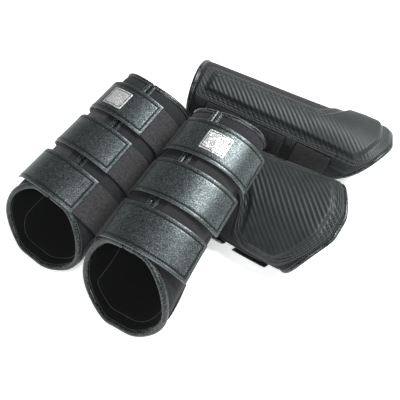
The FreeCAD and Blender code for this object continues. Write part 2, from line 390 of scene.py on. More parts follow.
# ---- stitches ----
def stitch_shape():
    """A short thread with round ends, along x, as vertices and faces."""
    stations = ((-0.5, 0.0), (-0.47, 0.55), (-0.36, 1.0), (0.36, 1.0), (0.47, 0.55), (0.5, 0.0))
    around = 6
    points = []
    for along, wide in stations:
        for step in range(around):
            turn = 2 * math.pi * step / around
            points.append((along, wide * math.cos(turn), wide * math.sin(turn)))
    index = np.arange(len(points)).reshape(len(stations), around)
    index = np.hstack([index, index[:, :1]])
    return np.array(points), quads(index)


STITCH_POINTS, STITCH_FACES = stitch_shape()


class Thread:
    """Rows of stitches, gathered into one object."""

    def __init__(self):
        self.points, self.faces, self.count = [], [], 0

    def row(self, boot, angle, height, offset, closed=False, pitch=STITCH_PITCH):
        """Stitches along a path, which is given by arrays of angle, height and offset."""
        if closed:
            angle, height = np.append(angle, angle[0]), np.append(height, height[0])
            offset = offset if np.isscalar(offset) else np.append(offset, offset[0])
        path = place(boot, angle, height, offset)
        above = place(boot, angle, height, np.asarray(offset) + 1.0)
        steps = np.linalg.norm(np.diff(path, axis=0), axis=1)
        length = np.concatenate([[0], np.cumsum(steps)])
        count = max(1, int(length[-1] / (pitch * MM)))
        at = (np.arange(count) + 0.5) * length[-1] / count
        reach = STITCH_LENGTH * MM / 2

        def along(distance, values):
            return np.stack([np.interp(distance, length, values[:, i]) for i in range(3)], axis=1)

        middle = along(at, path)
        forward = along(at + reach, path) - along(at - reach, path)
        forward /= np.linalg.norm(forward, axis=1)[:, None] + 1e-12
        normal = along(at, above) - middle
        normal /= np.linalg.norm(normal, axis=1)[:, None]
        across = np.cross(normal, forward)
        shape = STITCH_POINTS * np.array((STITCH_LENGTH, THREAD_RADIUS, THREAD_RADIUS)) * MM
        points = middle[:, None, :] + shape[:, 0, None] * forward[:, None, :]
        points = points + shape[:, 1, None] * across[:, None, :] + shape[:, 2, None] * normal[:, None, :]
        faces = STITCH_FACES[None] + (self.count + np.arange(count) * len(shape))[:, None, None]
        self.points.append(points.reshape(-1, 3))
        self.faces.append(faces.reshape(-1, 4))
        self.count += count * len(shape)

    def make(self, name, material="thread"):
        made = mesh_object(name, np.concatenate(self.points), np.concatenate(self.faces))
        finish_piece(made, material)
        return made


# ---- materials ----
def link(tree, value, socket):
    """Puts a number, a colour or another node's output on a socket."""
    if isinstance(value, bpy.types.NodeSocket):
        tree.links.new(value, socket)
    else:
        socket.default_value = value


def node(tree, kind, settings=None, inputs=None):
    made = tree.nodes.new("ShaderNode" + kind)
    for key, value in (settings or {}).items():
        setattr(made, key, value)
    for key, value in (inputs or {}).items():
        link(tree, value, made.inputs[key])
    return made


def maths(tree, operation, *values):
    made = node(tree, "Math", {"operation": operation}, dict(enumerate(values)))
    return made.outputs[0]


def ramp(tree, value, *stops):
    made = node(tree, "ValToRGB", None, {"Fac": value})
    elements = made.color_ramp.elements
    while len(elements) < len(stops):
        elements.new(0.5)
    for element, (position, colour) in zip(elements, stops):
        element.position = position
        element.color = (*colour, 1.0)
    return made.outputs["Color"]


def noise(tree, vector, scale, detail, rough):
    inputs = {"Vector": vector, "Scale": scale, "Detail": detail, "Roughness": rough}
    return node(tree, "TexNoise", None, inputs).outputs["Fac"]


def mixed(tree, share, first, second):
    made = node(tree, "Mix", {"data_type": "RGBA", "blend_type": "MIX"})
    link(tree, share, made.inputs[0])
    for value, socket in ((first, made.inputs[6]), (second, made.inputs[7])):
        if isinstance(value, tuple) and len(value) == 3:
            value = (*value, 1.0)
        link(tree, value, socket)
    return made.outputs[2]


def grey(value, tint=(1.0, 1.0, 1.0)):
    return tuple(value * t for t in tint)


class Surface:
    """A material in the making: its tree, its shader, and texture coordinates in mm."""

    def __init__(self, name):
        self.material = bpy.data.materials.new(name)
        self.material.use_nodes = True
        self.tree = self.material.node_tree
        self.shader = self.tree.nodes["Principled BSDF"]
        place_in_object = node(self.tree, "TexCoord").outputs["Object"]
        self.solid = node(self.tree, "VectorMath", {"operation": "SCALE"},
                          {0: place_in_object, "Scale": 1000.0}).outputs[0]
        self.flat = node(self.tree, "UVMap", {"uv_map": "surface"}).outputs[0]

    def split(self, vector):
        made = node(self.tree, "SeparateXYZ", None, {0: vector})
        return made.outputs[0], made.outputs[1]

    def waves(self, along, pitch):
        """A sine that repeats once for each pitch in mm."""
        return maths(self.tree, "SINE", maths(self.tree, "MULTIPLY", along, 2 * math.pi / pitch))

    def rim(self):
        return node(self.tree, "Attribute", {"attribute_name": "rim"}).outputs["Fac"]

    def bump(self, height, distance, onto=None):
        inputs = {"Height": height, "Distance": distance * MM, "Strength": 1.0}
        if onto is not None:
            inputs["Normal"] = onto
        return node(self.tree, "Bump", None, inputs).outputs[0]

    def set(self, **values):
        for key, value in values.items():
            name = key.replace("_", " ").title().replace("Ior", "IOR")
            if isinstance(value, tuple) and len(value) == 3:
                value = (*value, 1.0)
            link(self.tree, value, self.shader.inputs[name])
        return self.material


FLOOR_GLOW = 0.5
GREEN_GREY = (0.84, 1.0, 1.02)
COOL_GREY = (0.94, 0.98, 1.04)
WARM_GREY = (1.02, 0.99, 1.04)


def neoprene():
    """Fine jersey laminated on foam, slightly fuzzy."""
    s = Surface("neoprene")
    x, y = s.split(s.flat)
    wales = s.waves(x, pitch=0.8)
    courses = s.waves(y, pitch=0.6)
    knit = maths(s.tree, "MULTIPLY", wales, courses)
    fuzz = noise(s.tree, s.solid, 1.3, 3.0, 0.6)
    patch = noise(s.tree, s.solid, 0.05, 3.0, 0.6)
    fleck = noise(s.tree, s.solid, 0.8, 3.0, 0.7)
    speckle = ramp(s.tree, fleck, (0.36, grey(0.010, COOL_GREY)), (0.66, grey(0.032, COOL_GREY)))
    colour = mixed(s.tree, maths(s.tree, "MULTIPLY", patch, 0.5), speckle, grey(0.020, COOL_GREY))
    height = maths(s.tree, "ADD", maths(s.tree, "MULTIPLY", knit, 0.35), fuzz)
    return s.set(base_color=colour, roughness=0.8, sheen_weight=0.04, sheen_roughness=0.45,
                 specular_ior_level=0.12, normal=s.bump(height, 0.12))


def lining_fabric():
    s = Surface("lining_fabric")
    x = s.split(s.flat)[0]
    ribs = s.waves(x, pitch=1.1)
    fuzz = noise(s.tree, s.solid, 1.0, 3.0, 0.6)
    height = maths(s.tree, "ADD", maths(s.tree, "MULTIPLY", ribs, 0.3), fuzz)
    colour = ramp(s.tree, fuzz, (0.25, grey(0.004, COOL_GREY)), (0.75, grey(0.010, COOL_GREY)))
    return s.set(base_color=colour, roughness=0.85, sheen_weight=0.02, sheen_roughness=0.5,
                 specular_ior_level=0.08, normal=s.bump(height, 0.1))


def flakes(s, size, tilt):
    """Brightness of glitter flakes of about this size in mm, and their tilted normals."""
    cells = node(s.tree, "TexVoronoi", {"feature": "F1"},
                 {"Vector": s.solid, "Scale": 1 / size, "Randomness": 1.0})
    colour = cells.outputs["Color"]
    brightness = node(s.tree, "SeparateColor", None, {"Color": colour}).outputs[0]
    lean = node(s.tree, "VectorMath", {"operation": "SUBTRACT"}, {0: colour, 1: (0.5, 0.5, 0.5)})
    lean = node(s.tree, "VectorMath", {"operation": "SCALE"}, {0: lean.outputs[0], "Scale": tilt})
    facing = node(s.tree, "NewGeometry").outputs["Normal"]
    facing = node(s.tree, "VectorMath", {"operation": "ADD"}, {0: facing, 1: lean.outputs[0]})
    return brightness, node(s.tree, "VectorMath", {"operation": "NORMALIZE"},
                            {0: facing.outputs[0]}).outputs[0]


def glitter_leather():
    """Green-grey synthetic leather with a fine glitter, a paler cut edge and painted shade in the sewn
    groove.
    """
    s = Surface("glitter_leather")
    brightness, facing = flakes(s, 0.6, 0.1)
    grain = noise(s.tree, s.solid, 0.9, 3.0, 0.6)
    patch = noise(s.tree, s.solid, 0.03, 2.0, 0.5)
    base = ramp(s.tree, brightness, (0.0, grey(0.03, GREEN_GREY)), (0.6, grey(0.075, GREEN_GREY)),
                (1.0, grey(0.21, GREEN_GREY)))
    varied = mixed(s.tree, maths(s.tree, "MULTIPLY", patch, 0.15), base, grey(0.07, GREEN_GREY))
    near_edge = node(s.tree, "MapRange", {"interpolation_type": "SMOOTHSTEP"}, {
        "Value": s.rim(), "From Min": 0.2, "From Max": 1.0, "To Min": 0.35, "To Max": 0.0})
    paler = mixed(s.tree, near_edge.outputs[0], varied, grey(0.24, GREEN_GREY))
    # Near the tab's row of stitches the colour is darkened almost to black: painted shade in the sewn
    # groove.
    from_seam = maths(s.tree, "ABSOLUTE", maths(s.tree, "SUBTRACT", s.rim(), TAB_STITCH))
    painted_groove_shade = node(s.tree, "MapRange", {"interpolation_type": "SMOOTHSTEP"}, {
        "Value": from_seam, "From Min": 0.7, "From Max": 1.3, "To Min": 1.0, "To Max": 0.0})
    colour = mixed(s.tree, painted_groove_shade.outputs[0], paler, grey(0.006, GREEN_GREY))
    return s.set(base_color=colour, roughness=0.42, metallic=0.8, specular_ior_level=0.4,
                 normal=s.bump(grain, 0.025, facing))


def glitter_binding():
    """Smoother and glossier glitter leather, rolled over the edge."""
    s = Surface("glitter_binding")
    brightness, facing = flakes(s, 0.5, 0.15)
    grain = noise(s.tree, s.solid, 0.7, 3.0, 0.6)
    colour = ramp(s.tree, brightness, (0.0, grey(0.004, GREEN_GREY)), (0.7, grey(0.012, GREEN_GREY)),
                  (1.0, grey(0.16, GREEN_GREY)))
    return s.set(base_color=colour, roughness=0.26, metallic=0.3, specular_ior_level=0.4,
                 coat_weight=0.03, coat_roughness=0.2, normal=s.bump(grain, 0.06, facing))


def moulded_pad():
    """Satin moulded rubber with a carbon-look twill."""
    s = Surface("moulded_pad")
    x, y = s.split(s.flat)
    cell = 1.15
    across = s.waves(maths(s.tree, "ADD", x, y), pitch=cell * 4)
    down = s.waves(maths(s.tree, "SUBTRACT", x, y), pitch=cell * 2)
    twill = maths(s.tree, "MULTIPLY", across, down)
    fine = noise(s.tree, s.solid, 1.6, 3.0, 0.6)
    patch = noise(s.tree, s.solid, 0.04, 3.0, 0.6)
    colour = ramp(s.tree, patch, (0.3, grey(0.020, GREEN_GREY)), (0.7, grey(0.028, GREEN_GREY)))
    height = maths(s.tree, "ADD", twill, maths(s.tree, "MULTIPLY", fine, 0.4))
    return s.set(base_color=colour, roughness=0.46, specular_ior_level=0.25,
                 normal=s.bump(height, 0.06))


def woven_elastic():
    s = Surface("woven_elastic")
    x, y = s.split(s.flat)
    cords = s.waves(y, pitch=1.15)
    picks = s.waves(x, pitch=0.9)
    crossing = maths(s.tree, "MULTIPLY", maths(s.tree, "MULTIPLY", cords, picks), 0.7)
    weave = maths(s.tree, "ADD", cords, crossing)
    fuzz = noise(s.tree, s.solid, 1.4, 3.0, 0.6)
    fleck = noise(s.tree, s.solid, 0.75, 3.0, 0.7)
    colour = ramp(s.tree, fleck, (0.36, grey(0.014, WARM_GREY)), (0.66, grey(0.056, WARM_GREY)))
    height = maths(s.tree, "ADD", maths(s.tree, "MULTIPLY", weave, 0.5), fuzz)
    return s.set(base_color=colour, roughness=0.75, sheen_weight=0.06, sheen_roughness=0.4,
                 specular_ior_level=0.15, normal=s.bump(height, 0.14))


def loop_pile():
    s = Surface("loop_pile")
    loops = node(s.tree, "TexVoronoi", None, {"Vector": s.solid, "Scale": 1.6}).outputs["Distance"]
    fuzz = noise(s.tree, s.solid, 1.5, 3.0, 0.7)
    height = maths(s.tree, "ADD", loops, fuzz)
    colour = ramp(s.tree, fuzz, (0.3, grey(0.010, COOL_GREY)), (0.75, grey(0.026, COOL_GREY)))
    return s.set(base_color=colour, roughness=0.85, sheen_weight=0.15, sheen_roughness=0.5,
                 specular_ior_level=0.2, normal=s.bump(height, 0.25))


def hook_tape():
    s = Surface("hook_tape")
    x, y = s.split(s.flat)
    rows = s.waves(x, pitch=1.3)
    hooks = s.waves(y, pitch=1.3)
    height = maths(s.tree, "MULTIPLY", rows, hooks)
    # The colour follows the hooks' height and is darker in the hollows between them: painted shade.
    colour = ramp(s.tree, height, (0.3, grey(0.004)), (0.9, grey(0.02)))
    return s.set(base_color=colour, roughness=0.45, normal=s.bump(height, 0.4))


def silver_glitter():
    s = Surface("silver_glitter")
    brightness, facing = flakes(s, 0.8, 0.6)
    colour = ramp(s.tree, brightness, (0.0, grey(0.30)), (0.5, grey(0.48)), (1.0, grey(0.74)))
    return s.set(base_color=colour, roughness=0.4, metallic=0.5, normal=facing)


def twisted_thread(name, dark, pale):
    s = Surface(name)
    twist = noise(s.tree, s.solid, 2.5, 2.0, 0.5)
    colour = ramp(s.tree, twist, (0.3, grey(dark, COOL_GREY)), (0.7, grey(pale, COOL_GREY)))
    return s.set(base_color=colour, roughness=0.6, sheen_weight=0.1, normal=s.bump(twist, 0.05))


def thread():
    return twisted_thread("thread", 0.003, 0.012)


def waxed_thread():
    """The paler, waxed thread round the pad and the binding."""
    return twisted_thread("waxed_thread", 0.035, 0.08)


def floor_paper():
    """White paper on a light table, so that shadows stay faint."""
    s = Surface("floor_paper")
    tone = noise(s.tree, s.solid, 0.01, 2.0, 0.5)
    colour = ramp(s.tree, tone, (0.0, grey(0.93)), (1.0, grey(0.95)))
    return s.set(base_color=colour, roughness=0.9, specular_ior_level=0.1,
                 emission_color=grey(1.0), emission_strength=FLOOR_GLOW)


MATERIALS = {make.__name__: make() for make in (
    neoprene, lining_fabric, glitter_leather, glitter_binding, moulded_pad, woven_elastic,
    loop_pile, hook_tape, silver_glitter, thread, waxed_thread, floor_paper)}


def finish_piece(piece, material, body=None, node_name=None):
    """Gives a piece its material and the body that it rides, and hides the CAD part that it stands for.
    """
    piece.data.materials.append(MATERIALS[material])
    if node_name:
        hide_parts(node_name)
    if body:
        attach(piece, body)
    return piece


# ---- the wrap: neoprene shell, lining and edge binding ----
def ripple(boot, angle, height, amount):
    """Gentle unevenness of soft foam, the same on every run."""
    seed = boot["at"][0] * 0.37
    turn = np.radians(angle)
    wave = np.sin(3 * turn + height / 37 + seed) + 0.7 * np.sin(5 * turn - height / 23 + 2 * seed)
    return amount * (wave + 0.5 * np.sin(9 * turn + height / 14 + 3 * seed)) / 2.2


def wrap_grid(boot, inset, columns, rows):
    """Angles and heights of a grid over the whole wrap, inset from its edge."""
    gap = degrees_for(boot, SEAM_HALF_GAP + inset, 0.0, BOOT_HEIGHT / 2)
    angle = np.linspace(gap, 360 - gap, columns)[:, None]
    ends = edge_lines(1.0, 1.0 / rows, 0.02)[None, :]
    low, high = lower_edge(angle) + inset, top_edge(angle) - inset
    return np.broadcast_arrays(angle, low + (high - low) * ends)


def edge_distance(boot, angle, height):
    """Distance from the wrap's edge."""
    around = np.minimum(angle, 360 - angle) * math.pi / 180 * section_radius(boot, angle, height)
    rise = np.minimum(height - lower_edge(angle), top_edge(angle) - height)
    return np.minimum(around - SEAM_HALF_GAP, rise)


def make_shell(boot_name, boot):
    angle, height = wrap_grid(boot, BINDING_STITCH, 181, 80)
    edge = edge_distance(boot, angle, height)
    swell = smooth((edge - BINDING_STITCH) / FOAM_SWELL)
    outer = -FOAM_SINK + FOAM_SINK * swell + ripple(boot, angle, height, FOAM_RIPPLE) * swell
    inner = -SHELL_THICKNESS + FOAM_PINCH * (1 - swell)
    middle = (outer + inner) / 2
    border = on_border(edge)
    outer, inner = np.where(border, middle, outer), np.where(border, middle, inner)
    uv = np.stack([angle * MM_PER_DEGREE, height], axis=-1)
    top, bottom = place(boot, angle, height, outer), place(boot, angle, height, inner)
    piece = plate(f"{boot_name}_shell_foam", top, bottom, uv, edge)
    finish_piece(piece, "neoprene", f"{boot_name}_boot", f"{boot_name}_shell")


def cut_size(boot, offset):
    """Flat width and length of the cloth that wraps the boot, and its area, in metres."""
    points = place(boot, *wrap_grid(boot, 0.0, 91, 40), offset)
    round_leg = np.linalg.norm(np.diff(points, axis=0), axis=2)
    along_leg = np.linalg.norm(np.diff(points, axis=1), axis=2)
    corner = points[1:, :-1] - points[:-1, :-1], points[:-1, 1:] - points[:-1, :-1]
    area = np.linalg.norm(np.cross(*corner), axis=2).sum()
    return float(round_leg.sum(axis=0).max()), float(along_leg.sum(axis=1).max()), float(area)


def make_lining(boot_name, boot):
    angle, height = wrap_grid(boot, BINDING_STITCH, 181, 80)
    edge = edge_distance(boot, angle, height)
    seam = pad_seam_distance(boot, angle, height)
    groove = LINING_GROOVE * np.exp(-(seam / LINING_GROOVE_WIDTH) ** 2)
    swell = smooth((edge - BINDING_STITCH) / LINING_SWELL)
    inner = LINING_OFFSET + LINING_SINK * (1 - swell) + groove
    inner = inner + ripple(boot, angle, height, LINING_RIPPLE) * swell
    outer = np.full_like(inner, -SHELL_THICKNESS - 0.1)
    inner = np.where(on_border(edge), outer, inner)
    uv = np.stack([angle * MM_PER_DEGREE, height], axis=-1)
    top, bottom = place(boot, angle, height, outer), place(boot, angle, height, inner)
    piece = plate(f"{boot_name}_lining_cloth", top, bottom, uv, edge)
    finish_piece(piece, "lining_fabric", f"{boot_name}_boot", f"{boot_name}_lining")
    width, length, area = cut_size(boot, -SHELL_THICKNESS)


def wrap_outline(boot):
    """The wrap's edge as a closed, evenly spaced path with soft corners: angles and heights,
    and the direction straight in from the edge, in millimetres round the leg and along it."""
    samples = 200
    gap = degrees_for(boot, SEAM_HALF_GAP, 0.0, BOOT_HEIGHT / 2)
    angles = np.linspace(gap, 360 - gap, 2 * samples)
    left, right = np.full(samples, 360 - gap), np.full(samples, gap)
    up = np.linspace(lower_edge(gap), top_edge(gap), samples)
    x = np.concatenate([angles, left, angles[::-1], right]) * MM_PER_DEGREE
    y = np.concatenate([lower_edge(angles), up, top_edge(angles)[::-1], up[::-1]])
    steps = np.hypot(np.diff(x, append=x[0]), np.diff(y, append=y[0]))
    keep = steps > 1e-6
    x, y, steps = x[keep], y[keep], steps[keep]
    length = np.concatenate([[0], np.cumsum(steps)])
    count = int(length[-1] / OUTLINE_SPACING)
    at = np.arange(count) * length[-1] / count
    x = np.interp(at, length, np.append(x, x[0]))
    y = np.interp(at, length, np.append(y, y[0]))
    reach = np.minimum(np.arange(count), count - np.arange(count)) * length[-1] / count
    kernel = np.exp(-(reach / (BINDING_CORNER * 0.6)) ** 2)
    kernel = np.fft.rfft(kernel / kernel.sum())
    x = np.fft.irfft(np.fft.rfft(x) * kernel, count)
    y = np.fft.irfft(np.fft.rfft(y) * kernel, count)
    forward = np.stack([np.roll(x, -1) - np.roll(x, 1), np.roll(y, -1) - np.roll(y, 1)], axis=1)
    forward /= np.linalg.norm(forward, axis=1)[:, None]
    return x / MM_PER_DEGREE, y, -forward[:, 1], forward[:, 0]


def inward(boot, outline, distance):
    """Angles and heights at a distance in from the wrap's edge."""
    angle, height, inward_x, inward_y = outline
    turn = np.degrees(inward_x * distance / section_radius(boot, angle, height))
    return angle + turn, height + inward_y * distance


def binding_profile():
    """Section of the rolled binding: distances in from the edge, and offsets."""
    radius = (BINDING_PROUD - LINING_OFFSET) / 2 + 0.1
    middle = BINDING_PROUD - radius
    nose = [(radius * (1 - math.cos(t)), middle + radius * math.sin(t))
            for t in np.radians(np.linspace(88, -88, 13))]
    outer_leg = [(BINDING_LEG, -1.4), (BINDING_LEG + 0.05, -0.35), (BINDING_LEG - 0.4, -0.12),
                 (BINDING_STITCH + 0.5, -0.1), (BINDING_STITCH, -0.2), (BINDING_STITCH - 0.5, 0.05)]
    mirror = 2 * middle
    inner_leg = [(d, mirror - o) for d, o in reversed(outer_leg)]
    return outer_leg + nose + inner_leg


def make_binding(boot_name, boot, threads):
    outline = wrap_outline(boot)
    rings = []
    for distance, offset in binding_profile():
        angle, height = inward(boot, outline, distance)
        rings.append(place(boot, angle, height, offset))
    piece = swept(f"{boot_name}_binding_piping", np.stack(rings, axis=1))
    finish_piece(piece, "glitter_binding", f"{boot_name}_boot",
                 f"{boot_name}_edge_binding")
    angle, height = inward(boot, outline, BINDING_STITCH)
    threads.row(boot, angle, height, -0.05, closed=True)
    threads.row(boot, angle, height, LINING_OFFSET + BINDING_PROUD - 0.1, closed=True)


# ---- the strike pad ----
def pad_far_edge(boot, height):
    (low, high), (narrow, lobe) = boot["flare"], boot["pad"]
    return lobe + (narrow - lobe) * smooth((height - low) / (high - low))


def pad_place(boot, share, rise):
    """Angles and heights from shares of the way across the pad and up it."""
    height = PAD_TOP * rise
    for _ in range(3):
        angle = PAD_STRAIGHT_ANGLE + (pad_far_edge(boot, height) - PAD_STRAIGHT_ANGLE) * share
        low = lower_edge(angle) + PAD_EDGE_INSET
        height = low + (PAD_TOP - low) * rise
    return angle, height


def across_pad(boot, angle, height):
    """Distance round the leg from the pad's straight edge, in millimetres."""
    columns, levels = 120, 23
    angles = np.linspace(PAD_STRAIGHT_ANGLE, boot["pad"][1], columns)
    heights = np.linspace(0, PAD_TOP, levels)
    points = place(boot, angles[:, None], heights, PAD_OFFSET) / MM
    steps = np.linalg.norm(np.diff(points, axis=0), axis=2)
    lengths = np.vstack([np.zeros(levels), np.cumsum(steps, axis=0)])
    column = np.clip(np.interp(angle, angles, np.arange(columns)), 0, columns - 1.001)
    row = np.clip(height / PAD_TOP * (levels - 1), 0, levels - 1.001)
    i, j = column.astype(int), row.astype(int)
    u, v = column - i, row - j
    low = lengths[i, j] * (1 - u) + lengths[i + 1, j] * u
    high = lengths[i, j + 1] * (1 - u) + lengths[i + 1, j + 1] * u
    return low * (1 - v) + high * v


def pad_fingers(height):
    """1 where the pad reaches out between the elastics, 0 in their slots."""
    reach = np.ones_like(height)
    for index in range(3):
        low, high = strap_edges(index)
        low, high = low + ELASTIC_INSET - PAD_SLOT_MARGIN, high - ELASTIC_INSET + PAD_SLOT_MARGIN
        inside = smooth((height - low + 0.6) / 1.2) * smooth((high + 0.6 - height) / 1.2)
        reach = reach * (1 - inside)
    return reach


def distance_to(path, x, y):
    """Distance from points to a closed path of (x, y) rows."""
    start, step = path, np.roll(path, -1, axis=0) - path
    points = np.stack([x.ravel(), y.ravel()], axis=1)
    nearest = np.full(len(points), 1e9)
    for first, along in zip(start, step):
        size = max(along @ along, 1e-9)
        share = np.clip(((points - first) @ along) / size, 0, 1)
        gap = points - first - share[:, None] * along
        nearest = np.minimum(nearest, np.einsum("ij,ij->i", gap, gap))
    return np.sqrt(nearest).reshape(x.shape)


def pad_grid():
    """The pad's grid: shares of the way across it and up it."""
    share = np.concatenate([[0, 0.004, 0.012, 0.022, 0.034], np.linspace(0.05, 0.95, 116),
                            [0.966, 0.978, 0.988, 0.996, 1]])
    length = PAD_TOP - PAD_EDGE_INSET
    rise = edge_lines(length, PAD_SPACING, 2.0) / length
    return np.meshgrid(share, rise, indexing="ij")


def pad_surface(boot):
    """Angles, heights and flat coordinates of the pad's grid, with its corners rounded."""
    share, rise = pad_grid()
    x, y = round_corners(share * PAD_BASE, rise * PAD_TOP, PAD_BASE, PAD_TOP, PAD_CORNERS)
    share, rise = x / PAD_BASE, y / PAD_TOP
    angle, height = pad_place(boot, share, rise)
    reach = PAD_FINGER * pad_fingers(height) * np.clip(1 - share / 0.05, 0, 1)
    flat_x = across_pad(boot, angle, height) - reach
    return angle - degrees_for(boot, reach, 90.0, height), height, flat_x


def pad_border(grid):
    """Border of a grid as one closed path."""
    return np.concatenate([grid[:-1, 0], grid[-1, :-1], grid[:0:-1, -1], grid[0, :0:-1]])


def pad_outline(boot, inset):
    """The pad's outline, inset, without its fingers: angles and heights."""
    samples = 60
    x = inset + (PAD_BASE - 2 * inset) * np.linspace(0, 1, samples)
    y = inset + (PAD_TOP - 2 * inset) * np.linspace(0, 1, samples)
    near, far = np.full(samples, inset), np.full(samples, PAD_BASE - inset)
    top = np.full(samples, PAD_TOP - inset)
    path_x = np.concatenate([side[:-1] for side in (x, far, x[::-1], near)])
    path_y = np.concatenate([side[:-1] for side in (near, y, top, y[::-1])])
    path_x, path_y = round_corners(path_x, path_y, PAD_BASE, PAD_TOP, PAD_CORNERS)
    share, rise = path_x / PAD_BASE, path_y / PAD_TOP
    angle, height = pad_place(boot, share, rise)
    for _ in range(2):
        width = across_pad(boot, pad_far_edge(boot, height), height)
        even = (1 - share) * path_x / width + share * (1 - (PAD_BASE - path_x) / width)
        angle, height = pad_place(boot, even, rise)
    return angle, height


def pad_seam_distance(boot, angle, height):
    """Distance from the pad's seam, which shows in the lining as a groove."""
    seam_angle, seam_height = pad_outline(boot, LINING_SEAM)
    path = np.stack([seam_angle * MM_PER_DEGREE, seam_height], axis=1)
    return distance_to(path[::2], angle * MM_PER_DEGREE, height)


def make_pad(boot_name, boot, threads):
    angle, height, flat_x = pad_surface(boot)
    along = height * boot["size"]
    path = np.stack([pad_border(flat_x), pad_border(along)], axis=1)
    edge = distance_to(path, flat_x, along)
    in_from_rim = np.minimum(edge, flat_x) - PAD_RIM_WIDTH
    step = smooth(in_from_rim / PAD_STEP_WIDTH)
    slant = RIB_SLANT * boot["hand"]
    phase = 2 * math.pi * (along + slant * flat_x) / RIB_PITCH / math.hypot(1, slant)
    centre_share = smooth(in_from_rim / RIB_BLEND - 0.5)
    rib_height = RIM_RIB_HEIGHT + (RIB_HEIGHT - RIM_RIB_HEIGHT) * centre_share
    ribs = np.cos(phase) * rib_height * smooth(edge / RIB_END)
    crown = PAD_CROWN * smooth(in_from_rim / PAD_CROWN_WIDTH)
    rows = sum(np.exp(-((edge - inset) / GROOVE_WIDTH) ** 2) for inset in PAD_STITCHES)
    outer = PAD_OFFSET + PAD_RIM * rounded(edge, PAD_RIM) - ROW_DEPTH * rows
    outer = outer + (PAD_RISE - PAD_STEP_LESS) * step + crown + ribs
    inner = np.full_like(outer, PAD_OFFSET)
    outer = np.where(on_border(edge), PAD_OFFSET + PAD_EDGE_HEIGHT, outer)
    uv = np.stack([flat_x * boot["hand"], along], axis=-1)
    top, bottom = place(boot, angle, height, outer), place(boot, angle, height, inner)
    piece = plate(f"{boot_name}_strike_guard", top, bottom, uv, edge)
    finish_piece(piece, "moulded_pad", f"{boot_name}_boot", f"{boot_name}_strike_pad")
    for inset in PAD_STITCHES:
        path_angle, path_height = pad_outline(boot, inset)
        threads.row(boot, path_angle, path_height, PAD_OFFSET + PAD_RIM - 0.15, closed=True)
    path_angle, path_height = pad_outline(boot, LINING_SEAM)
    threads.row(boot, path_angle, path_height, LINING_OFFSET + LINING_THREAD, closed=True)


# ---- straps ----
def make_loop_panel(boot_name, boot):
    low, high = STRAP_START + LOOP_LOW_MARGIN, STRAP_START + 2 * STRAP_PITCH + STRAP_WIDTH
    piece = strip(f"{boot_name}_loop_patch", boot, LOOP_SPAN, (low, high), LOOP_OFFSET - LOOP_SINK,
                  LOOP_THICKNESS + LOOP_SINK, (LOOP_CORNER,) * 4)
    finish_piece(piece, "loop_pile", f"{boot_name}_boot", f"{boot_name}_loop_panel")
    width = angle_at(boot, *LOOP_SPAN, (low + high) / 2, LOOP_OFFSET)[0]


def make_elastic(boot_name, boot, index):
    low, high = strap_edges(index)
    span = SEWN_ANGLE - ELASTIC_OVERLAP, PAD_STRAIGHT_ANGLE - ELASTIC_END_GAP
    edges = low + ELASTIC_INSET, high - ELASTIC_INSET
    name = f"{boot_name}_{STRAP_NAMES[index]}"

    def relief(x, y, edge, length, width):
        tension = ELASTIC_RIPPLE * np.sin(y * 2 * math.pi / ELASTIC_RIPPLE_PITCH) * smooth(edge / 4)
        return tension, tension * 0

    piece = strip(f"{name}_elastic_web", boot, span, edges, ELASTIC_OFFSET, ELASTIC_THICKNESS,
                  (0.6,) * 4, relief, 1.5)
    finish_piece(piece, "woven_elastic", f"{boot_name}_boot", f"{name}_elastic")


